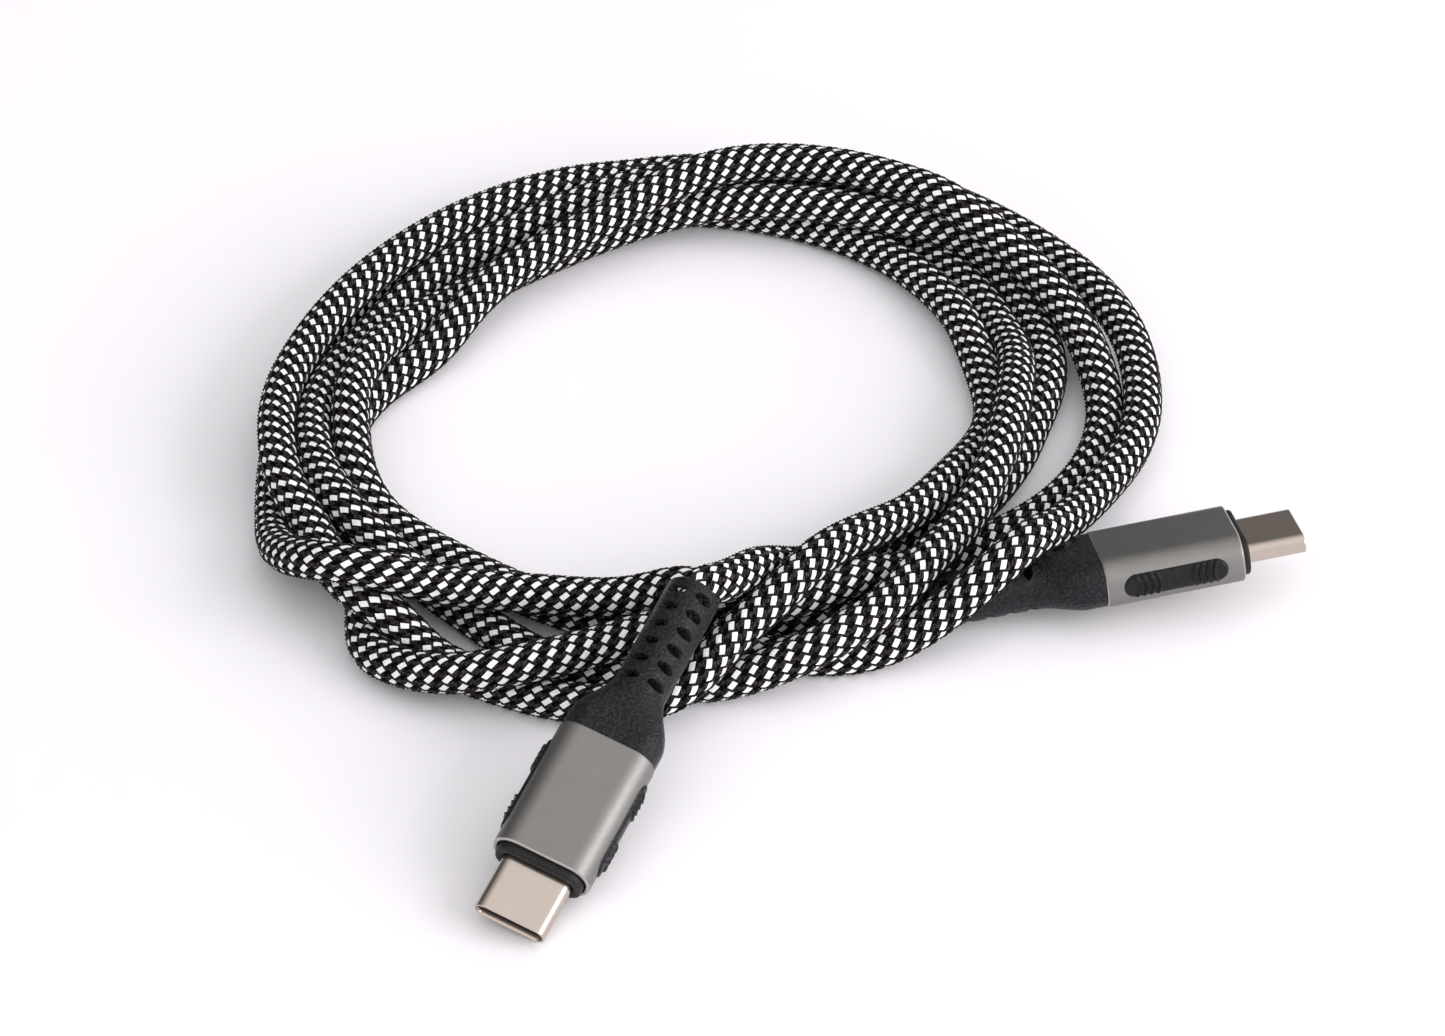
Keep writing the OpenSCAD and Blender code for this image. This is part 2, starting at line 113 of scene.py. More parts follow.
CAMERA_ELEVATION = 40
CAMERA_DISTANCE = 0.55
CAMERA_LENS = 117.1
CAMERA_AIM = COIL_AT + Vector((0, -0.014, 0))


def make_camera():
    data = bpy.data.cameras.new("camera")
    data.lens = CAMERA_LENS
    data.sensor_width = 36
    data.clip_start = 0.01
    camera = bpy.data.objects.new("camera", data)
    up = math.radians(CAMERA_ELEVATION)
    camera.location = CAMERA_AIM + CAMERA_DISTANCE * Vector((0, -math.cos(up), math.sin(up)))
    camera.rotation_euler = (math.radians(90 - CAMERA_ELEVATION), 0, 0)
    bpy.context.collection.objects.link(camera)
    bpy.context.scene.camera = camera


make_camera()

# ---- the cord's middle line ----

INSIDE_BOOT = 0.008
LEAD_OUT = 0.004
SETTLE_STEP = 0.0025
SETTLE_ROUNDS = 900
LINE_STEP = 0.00025
# Points at each end of the line that are held, and that no boot pushes
HELD_POINTS = 6
FREE_OF_BOOT = 8
# Strands are further apart along the line than this many points. Near ones are looked for every few rounds,
# with a margin over the cord's thickness.
NEIGHBOURS = 5
PAIRS_EVERY = 10
NEAR_MARGIN = 0.0015
# A boot is a rod from here to its front end
BOOT_ROD_START = 0.003
# Share of each correction that one round makes
PULL_ACROSS = 0.06
PULL_IN_DEPTH = 0.008
STIFFNESS = 0.4
TENSION = 0.03
STRAND_PUSH = 1.2
BOOT_PUSH = 0.5
# Fall in one round, the cord's height over the floor, and what stands in for a distance of zero
SINK = 0.000006
FLOOR_GAP = 0.00005
NO_LENGTH = 1e-6
# The camera's line of sight
SIGHT = np.array([0, math.cos(math.radians(CAMERA_ELEVATION)), -math.sin(math.radians(CAMERA_ELEVATION))])


def smooth_through(points, per_leg):
    """Centripetal Catmull-Rom curve through the points."""
    points = np.asarray(points, float)
    points = np.vstack([2 * points[0] - points[1], points, 2 * points[-1] - points[-2]])
    knots = np.concatenate([[0], np.cumsum(np.linalg.norm(np.diff(points, axis=0), axis=1) ** 0.5)])
    out = []
    for i in range(1, len(points) - 2):
        p0, p1, p2, p3 = points[i - 1:i + 3]
        t0, t1, t2, t3 = knots[i - 1:i + 3]
        for t in np.linspace(t1, t2, per_leg, endpoint=False):
            a1 = (t1 - t) / (t1 - t0) * p0 + (t - t0) / (t1 - t0) * p1
            a2 = (t2 - t) / (t2 - t1) * p1 + (t - t1) / (t2 - t1) * p2
            a3 = (t3 - t) / (t3 - t2) * p2 + (t - t2) / (t3 - t2) * p3
            b1 = (t2 - t) / (t2 - t0) * a1 + (t - t0) / (t2 - t0) * a2
            b2 = (t3 - t) / (t3 - t1) * a2 + (t - t1) / (t3 - t1) * a3
            out.append((t2 - t) / (t2 - t1) * b1 + (t - t1) / (t2 - t1) * b2)
    out.append(points[-2])
    return np.array(out)


def arc_lengths(points):
    return np.concatenate([[0], np.cumsum(np.linalg.norm(np.diff(points, axis=0), axis=1))])


def respaced(points, step):
    along = arc_lengths(points)
    count = int(round(along[-1] / step)) + 1
    places = np.linspace(0, along[-1], count)
    return np.stack([np.interp(places, along, points[:, i]) for i in range(3)], -1)


def push_apart(line, pairs, gap):
    """Moves points of different strands that are nearer than gap away from each other."""
    first, second = pairs
    apart = line[second] - line[first]
    distance = np.linalg.norm(apart, axis=1)
    near = distance < gap
    first, second, apart, distance = first[near], second[near], apart[near], distance[near]
    push = ((gap - distance) / 2 / np.maximum(distance, NO_LENGTH))[:, None] * apart
    move = np.zeros_like(line)
    count = np.zeros(len(line))
    np.add.at(move, second, push)
    np.add.at(move, first, -push)
    np.add.at(count, first, 1)
    np.add.at(count, second, 1)
    return STRAND_PUSH * move / np.maximum(count, 1)[:, None]


def push_out_of_rod(line, start, end, radius):
    """Moves points out of a round rod, apart from the few at the cord's own ends."""
    rod = end - start
    t = np.clip((line - start) @ rod / (rod @ rod), 0, 1)
    away = line - (start + t[:, None] * rod)
    distance = np.linalg.norm(away, axis=1)
    push = np.maximum(radius - distance, 0)
    push[:FREE_OF_BOOT] = 0
    push[-FREE_OF_BOOT:] = 0
    return BOOT_PUSH * away / np.maximum(distance, NO_LENGTH)[:, None] * push[:, None]


def near_pairs(line, gap):
    """Numbers of the points that are nearer than gap to each other, on different strands."""
    index = np.arange(len(line))
    distance = np.linalg.norm(line[:, None] - line[None], axis=2)
    return np.nonzero((distance < gap) & (index[None] - index[:, None] > NEIGHBOURS))


def stiffened(line):
    """The line with its bends evened out and drawn a little straighter."""
    bend = np.zeros_like(line)
    bend[1:-1] = (line[2:] + line[:-2]) / 2 - line[1:-1]
    stiff = np.zeros_like(line)
    stiff[1:-1] = (bend[2:] + bend[:-2]) / 2 - bend[1:-1]
    return line - STIFFNESS * stiff + TENSION * bend


def settle(line):
    """Lays the cord down: stiff, near its route, and clear of itself, the boots and the floor."""
    start = line.copy()
    index = np.arange(len(line))
    held = (index < HELD_POINTS) | (index >= len(line) - HELD_POINTS)
    boots = [[np.array(plug_matrix(end) @ Vector((x, 0, 0))) for x in (BOOT_ROD_START, BOOT_LEN)]
             for end in PLUGS]
    for step in range(SETTLE_ROUNDS):
        if step % PAIRS_EVERY == 0:
            pairs = near_pairs(line, CORD_D + NEAR_MARGIN)
        back = start - line
        deep = (back @ SIGHT)[:, None] * SIGHT
        line = line + PULL_ACROSS * (back - deep) + PULL_IN_DEPTH * deep
        line = stiffened(line)
        line[:, 2] -= SINK
        line = line + push_apart(line, pairs, CORD_D)
        for first, last in boots:
            line = line + push_out_of_rod(line, first, last, BOOT_R + CORD_R)
        line[:, 2] = np.maximum(line[:, 2], CORD_R + FLOOR_GAP)
        line[held] = start[held]
    return line


def cord_route():
    """The route's points with a straight length in each boot, in the frame of the scene."""
    turns = (TURN_1, TURN_2, TURN_3, TURN_4, TURN_5, TAIL_END)
    points = [Vector(p) + COIL_AT for turn in turns for p in turn]
    out_a = [plug_matrix("a") @ Vector((x, 0, 0)) for x in (INSIDE_BOOT, INSIDE_BOOT / 2, 0)]
    out_b = [plug_matrix("b") @ Vector((x, 0, 0)) for x in (-LEAD_OUT, 0, INSIDE_BOOT / 2, INSIDE_BOOT)]
    # Straight lengths take the place of the route's first two points and its last one
    return np.array([tuple(p) for p in out_a + points[2:-1] + out_b])


cord_line = respaced(smooth_through(cord_route(), per_leg=12), SETTLE_STEP)
cord_line = settle(cord_line)
cord_line = respaced(smooth_through(cord_line, per_leg=10), LINE_STEP)

# ---- materials ----


class Shader:
    """One procedural material: a Principled shader and the few nodes that feed it."""

    def __init__(self, name, color, roughness, metallic=0.0, **constants):
        self.material = bpy.data.materials.new(name)
        self.material.use_nodes = True
        self.nodes = self.material.node_tree.nodes
        self.links = self.material.node_tree.links
        self.shader = self.nodes["Principled BSDF"]
        self.shader.inputs["Base Color"].default_value = (*color, 1)
        self.shader.inputs["Roughness"].default_value = roughness
        self.shader.inputs["Metallic"].default_value = metallic
        for socket, value in constants.items():
            self.shader.inputs[socket.replace("_", " ")].default_value = value
        self.material.diffuse_color = (*color, 1)

    def node(self, kind, **inputs):
        node = self.nodes.new(kind)
        for name, value in inputs.items():
            node.inputs[name].default_value = value
        return node

    def coordinates(self, scale=(1, 1, 1), uv=None):
        """Object coordinates, or a named UV map, stretched by scale."""
        if uv:
            source = self.nodes.new("ShaderNodeUVMap")
            source.uv_map = uv
            output = source.outputs["UV"]
        else:
            source = self.nodes.new("ShaderNodeTexCoord")
            output = source.outputs["Object"]
        mapping = self.node("ShaderNodeMapping", Scale=scale)
        self.links.new(output, mapping.inputs["Vector"])
        return mapping.outputs["Vector"]

    def noise(self, place, scale, detail):
        node = self.node("ShaderNodeTexNoise", Scale=scale, Detail=detail)
        self.links.new(place, node.inputs["Vector"])
        return node.outputs["Fac"]

    def ramp(self, factor, low, high, start=0.3, end=0.7):
        """Colours or greys between low and high, where the factor goes from start to end."""
        node = self.nodes.new("ShaderNodeValToRGB")
        stops = node.color_ramp.elements
        for stop, place, value in zip(stops, (start, end), (low, high)):
            stop.position = place
            stop.color = (*value, 1) if isinstance(value, tuple) else (value, value, value, 1)
        self.links.new(factor, node.inputs["Fac"])
        return node.outputs["Color"]

    def feed(self, socket, output):
        self.links.new(output, self.shader.inputs[socket])

    def bump(self, height, strength, distance):
        node = self.node("ShaderNodeBump", Strength=strength, Distance=distance)
        self.links.new(height, node.inputs["Height"])
        self.feed("Normal", node.outputs["Normal"])


def yarn_material(name, dark, light, roughness, gloss, streak=(0.35, 0.65)):
    """Bundled filaments that run along the yarn, streaked in the lighter colour; on the dark yarn the
    streaks are also a painted sheen.
    """
    shader = Shader(name, light, roughness, Specular_IOR_Level=gloss)
    along = shader.coordinates((0.5, 5.0, 1), uv="weave")
    filaments = shader.noise(along, scale=1.6, detail=2.0)
    shader.feed("Base Color", shader.ramp(filaments, dark, light, *streak))
    shader.bump(filaments, strength=0.5, distance=0.00006)
    return shader.material


def grained_material(name, color, light, roughness, grain, bump, metallic=0.0, **constants):
    """Moulded or blasted surface: fine grain in its gloss and relief, and a faintly cloudy colour."""
    shader = Shader(name, color, roughness, metallic, **constants)
    place = shader.coordinates()
    fine = shader.noise(place, scale=grain, detail=2.0)
    cloud = shader.noise(place, scale=grain / 25, detail=3.0)
    shader.feed("Base Color", shader.ramp(cloud, color, light))
    shader.feed("Roughness", shader.ramp(fine, roughness - 0.07, roughness + 0.07))
    shader.bump(fine, strength=bump, distance=0.00004)
    return shader.material


def leathery_material(name, color, light, roughness, grain, relief=0.00015):
    """Moulded rubber with a pebbled skin: the pebbles show in gloss and relief, and their tops are painted
    lighter as glints.
    """
    shader = Shader(name, color, roughness, Specular_IOR_Level=0.22)
    pebbles_and_glints = shader.noise(shader.coordinates(), scale=grain, detail=2.0)
    # Painted glints: the lighter colour on the pebbles' tops stands in for their sparkle.
    shader.feed("Base Color", shader.ramp(pebbles_and_glints, color, light, start=0.42, end=0.7))
    shader.feed("Roughness", shader.ramp(pebbles_and_glints, roughness + 0.1, roughness - 0.1))
    shader.bump(pebbles_and_glints, strength=1.0, distance=relief)
    return shader.material


def plated_material(name, color, light, roughness, stretch=(1, 1, 1)):
    """Plated or polished metal with faint drawn lines and smudges in its gloss."""
    shader = Shader(name, color, roughness, metallic=1.0)
    lines = shader.noise(shader.coordinates(stretch), scale=3000, detail=2.0)
    smudge = shader.noise(shader.coordinates(), scale=350, detail=3.0)
    shader.feed("Base Color", shader.ramp(smudge, color, light))
    shader.feed("Roughness", shader.ramp(smudge, roughness * 0.92, roughness * 1.08))
    shader.bump(lines, strength=0.12, distance=0.00001)
    return shader.material


# Each look has the two colours that it varies between and its roughness. Then a yarn has its gloss and the
# share of it that is streaked, rubber the scale of its pebbles and their relief, a grained surface the scale
# and the strength of its grain, and metal the stretch of its drawn lines.
MATERIALS = {
    "yarn_white": yarn_material("yarn_white", (0.72, 0.72, 0.74), (0.97, 0.97, 0.98), 0.45, 0.4),
    # The dark yarn on the crowns of its floats: near black, with brown streaks that are partly its filaments
    # and partly a painted sheen, as its gloss is kept low.
    "yarn_dark_and_sheen": yarn_material("yarn_dark_and_sheen", (0.0015, 0.0013, 0.0013), (0.14, 0.116, 0.102), 0.55, 0.05,
                               streak=(0.5, 0.7)),
    # The dark yarn in the valleys between its floats: painted black as shade.
    "yarn_black": yarn_material("yarn_black", (0.0006, 0.0006, 0.0006), (0.004, 0.0035, 0.0035), 0.6, 0.03),
    "boot": leathery_material("boot", (0.002, 0.002, 0.003), (0.022, 0.022, 0.027), 0.36, 3400),
    "slot_shade": grained_material("slot_shade", (0.001, 0.001, 0.0012), (0.002, 0.002, 0.0025), 0.7,
                                   4200, 0.5, Specular_IOR_Level=0.05),
    "grip": leathery_material("grip", (0.005, 0.005, 0.006), (0.014, 0.014, 0.017), 0.42, 3400, 0.00004),
    "nose": grained_material("nose", (0.006, 0.005, 0.006), (0.01, 0.009, 0.01), 0.5, 8000, 0.6,
                             Specular_IOR_Level=0.3),
    "sleeve": grained_material("sleeve", (0.225, 0.215, 0.207), (0.24, 0.23, 0.22), 0.46, 9000, 0.35,
                               metallic=1.0),
    "rim": plated_material("rim", (0.4, 0.39, 0.38), (0.46, 0.45, 0.44), 0.34),
    "shell": plated_material("shell", (0.49, 0.42, 0.37), (0.51, 0.435, 0.385), 0.2, (0.1, 1, 1)),
    "housing": grained_material("housing", (0.01, 0.01, 0.011), (0.016, 0.016, 0.018), 0.5, 6000, 0.4),
    "contact": plated_material("contact", (0.85, 0.62, 0.25), (0.92, 0.7, 0.33), 0.25),
    "spring": plated_material("spring", (0.6, 0.6, 0.61), (0.72, 0.72, 0.73), 0.28),
    "card": grained_material("card", (0.01, 0.09, 0.04), (0.015, 0.13, 0.06), 0.35, 2500, 0.3),
    "chip": grained_material("chip", (0.015, 0.015, 0.017), (0.03, 0.03, 0.033), 0.6, 5000, 0.4),
    "can": plated_material("can", (0.6, 0.61, 0.62), (0.7, 0.71, 0.72), 0.33, (0.15, 1, 1)),
    "mould": grained_material("mould", (0.03, 0.03, 0.034), (0.045, 0.045, 0.05), 0.55, 5000, 0.4),
    "jacket": grained_material("jacket", (0.04, 0.04, 0.043), (0.06, 0.06, 0.065), 0.5, 5000, 0.4),
    "wire_red": grained_material("wire_red", (0.4, 0.02, 0.015), (0.5, 0.03, 0.02), 0.35, 4000, 0.2),
    "wire_black": grained_material("wire_black", (0.012, 0.012, 0.012), (0.02, 0.02, 0.02), 0.35, 4000, 0.2),
    "wire_blue": grained_material("wire_blue", (0.02, 0.06, 0.35), (0.03, 0.09, 0.45), 0.35, 4000, 0.2),
    "wire_green": grained_material("wire_green", (0.02, 0.22, 0.06), (0.03, 0.3, 0.09), 0.35, 4000, 0.2),
}


# ---- meshes ----


def link_piece(name, mesh):
    piece = bpy.data.objects.new(name, mesh)
    bpy.context.collection.objects.link(piece)
    return piece


def mesh_piece(name, verts, faces, materials):
    mesh = bpy.data.meshes.new(name)
    mesh.from_pydata([tuple(v) for v in verts], [], faces)
    for key in materials:
        mesh.materials.append(MATERIALS[key])
    mesh.polygons.foreach_set("use_smooth", [True] * len(mesh.polygons))
    mesh.update()
    return link_piece(name, mesh)


# The braid is a 2/2 weave. p counts the yarns that lean one way, along the yarns that lean the other way,
# and q the reverse, so (1, 1) is a step along the cord and (1, -1) a step round it.
YARNS = 24
PATTERN_PITCH = 0.00205
WHITE_EVERY = 3
WEAVE_REPEAT = 4
STEP_ALONG = PATTERN_PITCH / WHITE_EVERY / 2
STEP_ROUND = math.pi * CORD_D / YARNS / 2
BRAID_R = CORD_R - 0.0001
# Mesh cells to a yarn, to one repeat of the weave, to half a turn round the cord, and beyond its ends
GRID = 2
TILE_WIDE = WHITE_EVERY * WEAVE_REPEAT * GRID
TILE_TALL = WEAVE_REPEAT * GRID
HALF_TURN = YARNS * GRID
END_MARGIN = 4
# A float is a yarn's stretch over the others: half its length and half its width in yarns, and its crown
DARK_FLOAT = (1.35, 0.62)
DARK_CROWN = 0.00023
DARK_VALLEY = -0.5
WHITE_FLOAT = (1.25, 0.95)
WHITE_CROWN = 0.0001
WHITE_ABOVE = 0.02
WHITE_LONGER = 0.15
WHITE_WIDER = 0.2


def tile_grid(offset=0.0):
    """p and q over one repeat of the weave: of its vertices, or of its faces when offset by half a cell."""
    p = (np.arange(TILE_WIDE) + offset) / GRID
    q = (np.arange(TILE_TALL) + offset) / GRID
    return np.meshgrid(p, q, indexing="ij")


def white_floats():
    """Middles of the white floats in one repeat of the weave and round it."""
    for shift in range(-9, 25, WHITE_EVERY):
        for turn in range(-28, 32, WEAVE_REPEAT):
            yield shift, shift + 0.5 + turn


def dark_floats():
    """Middles of the dark floats in one repeat of the weave and round it."""
    for shift in range(-8, 24):
        for turn in range(-24, 28, WEAVE_REPEAT):
            yield shift - 2.5, shift + turn


def weave_heights():
    """Height of the vertices over one repeat of the weave."""
    p, q = tile_grid()
    dark = np.full(p.shape, -1.0)
    for middle_p, middle_q in dark_floats():
        dp = (p - middle_p) / DARK_FLOAT[0]
        dq = (q - middle_q) / DARK_FLOAT[1]
        dark = np.maximum(dark, 1 - dp ** 4 - dq ** 2)
    white = np.full(p.shape, -1.0)
    for middle_p, middle_q in white_floats():
        dp = (p - middle_p) / WHITE_FLOAT[0]
        dq = (q - middle_q) / WHITE_FLOAT[1]
        white = np.maximum(white, 1 - dp ** 2 - dq ** 2)
    return np.where(white > WHITE_ABOVE, WHITE_CROWN * white, DARK_CROWN * np.clip(dark, DARK_VALLEY, 1))


def weave_faces():
    """The yarn in each face of the repeat: 0 white, 1 the dark yarn's crowns, 2 its valleys, painted black
    as shade.
    """
    p, q = tile_grid(offset=0.5)
    kind = np.full(p.shape, 2)
    crossing = np.floor(q + 0.5) - np.floor(p + 0.5)
    kind[np.isin(np.mod(crossing, WEAVE_REPEAT), (2, 3))] = 1
    for middle_p, middle_q in white_floats():
        kind[(np.abs(p - middle_p) < 1.0) & (np.abs(q - middle_q) < 0.5)] = 0
    return kind


def white_spread():
    """How far vertices at a white float's rim move along p and q, which makes it larger than its cells."""
    p, q = tile_grid()
    move_p = np.zeros(p.shape)
    move_q = np.zeros(p.shape)
    for middle_p, middle_q in white_floats():
        dp = p - middle_p
        dq = q - middle_q
        on_float = (np.abs(dp) <= 1) & (np.abs(dq) <= 0.5)
        move_p = np.where(on_float & (np.abs(dp) > 0.9), np.sign(dp) * WHITE_LONGER, move_p)
        move_q = np.where(on_float & (np.abs(dq) > 0.4), np.sign(dq) * WHITE_WIDER, move_q)
    return move_p, move_q


def line_normals(line):
    """Two normals at each point of the line that don't twist about it."""
    tangent = np.gradient(line, axis=0)
    tangent /= np.linalg.norm(tangent, axis=1)[:, None]
    normal = np.zeros_like(line)
    normal[0] = np.cross(tangent[0], (0, 0, 1))
    normal[0] /= np.linalg.norm(normal[0])
    for i in range(1, len(line)):
        n = normal[i - 1] - tangent[i] * (normal[i - 1] @ tangent[i])
        normal[i] = n / np.linalg.norm(n)
    return normal, np.cross(tangent, normal)


def braid_vertices(line, p, q):
    """Places of the grid's vertices p and q, wound round the line."""
    length = arc_lengths(line)[-1]
    cell = (p % TILE_WIDE, q % TILE_TALL)
    spread_p, spread_q = white_spread()
    moved_p = p / GRID + spread_p[cell]
    moved_q = q / GRID + spread_q[cell]
    s = np.clip((moved_p + moved_q) * STEP_ALONG, 0, length)
    angle = (moved_q - moved_p) * STEP_ROUND / CORD_R
    station = s / length * (len(line) - 1)
    low = np.minimum(station.astype(int), len(line) - 2)
    t = (station - low)[..., None]

    def at(values):
        return values[low] * (1 - t) + values[low + 1] * t

    normal, side = line_normals(line)
    radius = (BRAID_R + weave_heights()[cell])[..., None]
    out = np.cos(angle)[..., None] * at(normal) + np.sin(angle)[..., None] * at(side)
    return at(line) + radius * out


def braid_quads(rows):
    """Vertex numbers of each face. Round the cord, the grid meets itself half a turn further along it."""
    a = np.arange(rows)[:, None] * HALF_TURN + np.arange(HALF_TURN)[None]
    right = a + HALF_TURN
    wrap = np.arange(HALF_TURN)[None] == HALF_TURN - 1
    up = np.where(wrap, a - (HALF_TURN - 1) + HALF_TURN * HALF_TURN, a + 1)
    return np.stack([a, right, up + HALF_TURN, up], -1).reshape(-1, 4)


def braid_piece(name, verts, faces, yarn, p, q):
    """Mesh with a yarn for each face's material and its corners' p and q as the UV map."""
    mesh = bpy.data.meshes.new(name)
    mesh.vertices.add(len(verts))
    mesh.vertices.foreach_set("co", verts.ravel())
    mesh.loops.add(faces.size)
    mesh.loops.foreach_set("vertex_index", faces.ravel())
    mesh.polygons.add(len(faces))
    mesh.polygons.foreach_set("loop_start", np.arange(0, faces.size, 4))
    mesh.polygons.foreach_set("loop_total", np.full(len(faces), 4))
    for key in ("yarn_white", "yarn_dark_and_sheen", "yarn_black"):
        mesh.materials.append(MATERIALS[key])
    mesh.polygons.foreach_set("material_index", yarn)
    mesh.polygons.foreach_set("use_smooth", np.full(len(faces), True))
    weave = mesh.uv_layers.new(name="weave")
    corner_p = (p[:, None] + np.array([0, 1, 1, 0])) / GRID
    corner_q = (q[:, None] + np.array([0, 0, 1, 1])) / GRID
    weave.data.foreach_set("uv", np.stack([corner_p, corner_q], -1).ravel())
    mesh.update(calc_edges=True)
    mesh.validate()
    return link_piece(name, mesh)


def make_braid(line):
    length = arc_lengths(line)[-1]
    first = -HALF_TURN - END_MARGIN
    last = int(length / (STEP_ALONG / GRID)) + HALF_TURN + END_MARGIN
    p, q = np.meshgrid(np.arange(first, last), np.arange(HALF_TURN), indexing="ij")
    rows = last - first - HALF_TURN - 1
    faces = braid_quads(rows)
    along = ((p / GRID + q / GRID) * STEP_ALONG).ravel()[faces]
    inside = (along.max(axis=1) > 0) & (along.min(axis=1) < length)
    face_p = p[:rows].ravel()[inside]
    face_q = q[:rows].ravel()[inside]
    yarn = weave_faces()[face_p % TILE_WIDE, face_q % TILE_TALL]
    used, faces = np.unique(faces[inside], return_inverse=True)
    verts = braid_vertices(line, p, q).reshape(-1, 3)[used]
    return braid_piece("braided_cord", verts, faces.reshape(-1, 4), yarn, face_p, face_q)


braid = make_braid(cord_line)


# ---- plug pieces ----


# Steps in each rounded corner, and the least flat that is left between two of them
CORNER_STEPS = 16
NO_FLAT = 1e-6


def rounded_section(width, height, radius, count):
    """Points of a rounded rectangle in y and z, evenly spaced round it from the middle of its +y side."""
    radius = min(radius, height / 2 - NO_FLAT, width / 2 - NO_FLAT)
    corners = [(1, 1, 0), (-1, 1, 90), (-1, -1, 180), (1, -1, 270)]
    outline = [(width / 2, 0)]
    for side_y, side_z, start in corners:
        for step in range(CORNER_STEPS + 1):
            a = math.radians(start + 90 * step / CORNER_STEPS)
            outline.append((side_y * (width / 2 - radius) + radius * math.cos(a),
                            side_z * (height / 2 - radius) + radius * math.sin(a)))
    outline = np.array(outline + [(width / 2, 0)])
    along = arc_lengths(outline)
    places = np.linspace(0, along[-1], count, endpoint=False)
    return np.stack([np.interp(places, along, outline[:, i]) for i in range(2)], -1)


def circle_section(radius, count):
    angle = np.linspace(0, 2 * math.pi, count, endpoint=False)
    return radius * np.stack([np.cos(angle), np.sin(angle)], -1)


def loft(name, rings, materials, bands=()):
    """Skin over rings of equal length. bands gives the material number of each band between rings."""
    count = len(rings[0])
    faces = []
    for i in range(len(rings) - 1):
        for k in range(count):
            j = (k + 1) % count
            faces.append((i * count + k, i * count + j, (i + 1) * count + j, (i + 1) * count + k))
    piece = mesh_piece(name, np.concatenate(rings), faces, materials)
    for i, band in enumerate(bands):
        for k in range(count):
            piece.data.polygons[i * count + k].material_index = band
    return piece


def ring_at(x, section):
    return np.column_stack([np.full(len(section), x), section])


def eased(t):
    t = np.clip(t, 0, 1)
    return t * t * (3 - 2 * t)


SLOT_RINGS = 6
SLOT_PITCH = 0.0024
FIRST_SLOT_X = 0.0018
SLOT_HALF_X = 0.00052
SLOT_HALF_ROUND = 0.00112
SLOT_DEPTH = 0.0008
SLOT_TURN = math.radians(32)
# A slot's rim and the raised lip round it, with the slot's own half size as 1
SLOT_RIM = 1.1
SLOT_RIM_WIDTH = 0.2
SLOT_LIP_AT = 1.22
SLOT_LIP_WIDTH = 0.16
SLOT_LIP = 0.00007
SHADED_DEPTH = SLOT_DEPTH * 0.8


def slot_depth(x, around):
    """Depth of the boot's surface at a station x, given distances round the neck to the nearest slot row."""
    depth = np.zeros(around.shape)
    for i in range(SLOT_RINGS):
        dx = (x - FIRST_SLOT_X - i * SLOT_PITCH) / SLOT_HALF_X
        reach = np.sqrt(dx ** 2 + (around / SLOT_HALF_ROUND) ** 2)
        depth = np.maximum(depth, SLOT_DEPTH * eased((SLOT_RIM - reach) / SLOT_RIM_WIDTH))
        lip = np.exp(-((reach - SLOT_LIP_AT) / SLOT_LIP_WIDTH) ** 2)
        depth = depth - SLOT_LIP * lip
    return depth


BOOT_COUNT = 224
BOOT_LIP_R = 0.0006
# The boot's end is this much narrower than the sleeve, and its flare starts this far before the neck's end
BOOT_INSET = 0.0002
FLARE_BACK = 0.0012
FLARE_LEN = 0.0062
# Inside the boot's mouth: stations and the gap round the cord there
MOUTH = ((0.006, 0.00002), (0.0005, 0.00004))
# Distance between rings along the neck and along the shoulder
FINE_RING = 0.0001
COARSE_RING = 0.00025
# The end face, inside the sleeve, reaches in to this share of the outline
END_FACE = 0.8


def boot_section(x):
    """Outline of the boot at x: round along the neck, then widening in a smooth S to the sleeve's oval."""
    full = rounded_section(SLEEVE[0] - BOOT_INSET, SLEEVE[1] - BOOT_INSET, SLEEVE[2], BOOT_COUNT)
    neck = circle_section(BOOT_R, BOOT_COUNT)
    t = eased((x - BOOT_NECK_LEN + FLARE_BACK) / FLARE_LEN)
    return neck * (1 - t) + full * t


def boot_rings():
    """Rings from inside the boot's mouth, over its lip and its slots, to its face inside the sleeve."""
    rings = [ring_at(x, circle_section(CORD_R + gap, BOOT_COUNT)) for x, gap in MOUTH]
    for degrees in range(0, 91, 15):
        a = math.radians(degrees)
        inset = BOOT_LIP_R * (1 - math.sin(a))
        rings.append(ring_at(BOOT_LIP_R * (1 - math.cos(a)), circle_section(BOOT_R - inset, BOOT_COUNT)))
    angle = np.linspace(0, 2 * math.pi, BOOT_COUNT, endpoint=False)
    from_top = np.abs(np.mod(angle, math.pi) - math.pi / 2)
    around = np.abs(from_top - SLOT_TURN) * BOOT_R
    x = BOOT_LIP_R + FINE_RING
    while x < BOOT_LEN - FINE_RING:
        section = boot_section(x)
        radius = np.linalg.norm(section, axis=1)
        rings.append(ring_at(x, section * (1 - slot_depth(x, around) / radius)[:, None]))
        x += FINE_RING if x < BOOT_NECK_LEN else COARSE_RING
    rings.append(ring_at(BOOT_LEN, boot_section(BOOT_LEN)))
    rings.append(ring_at(BOOT_LEN, boot_section(BOOT_LEN) * END_FACE))
    return rings


def make_boot(name):
    boot = loft(name, boot_rings(), ["boot", "slot_shade"])
    for face in boot.data.polygons:
        if BOOT_LIP_R < face.center.x < BOOT_NECK_LEN:
            deep = BOOT_R - math.hypot(face.center.y, face.center.z)
            face.material_index = int(deep > SHADED_DEPTH)
    return boot


def tube_rings(profile, size, count=128):
    """Rings at each station and inset of the profile, from a rounded rectangle of the size."""
    return [ring_at(x, rounded_section(size[0] - 2 * inset, size[1] - 2 * inset, size[2] - inset, count))
            for x, inset in profile]


def rounded_rim(front, edge):
    """Stations and insets of a quarter round on a tube's front edge."""
    angles = [math.radians(d) for d in (0, 22, 45, 68, 90)]
    return [(front - edge * (1 - math.sin(a)), edge * (1 - math.cos(a))) for a in angles]


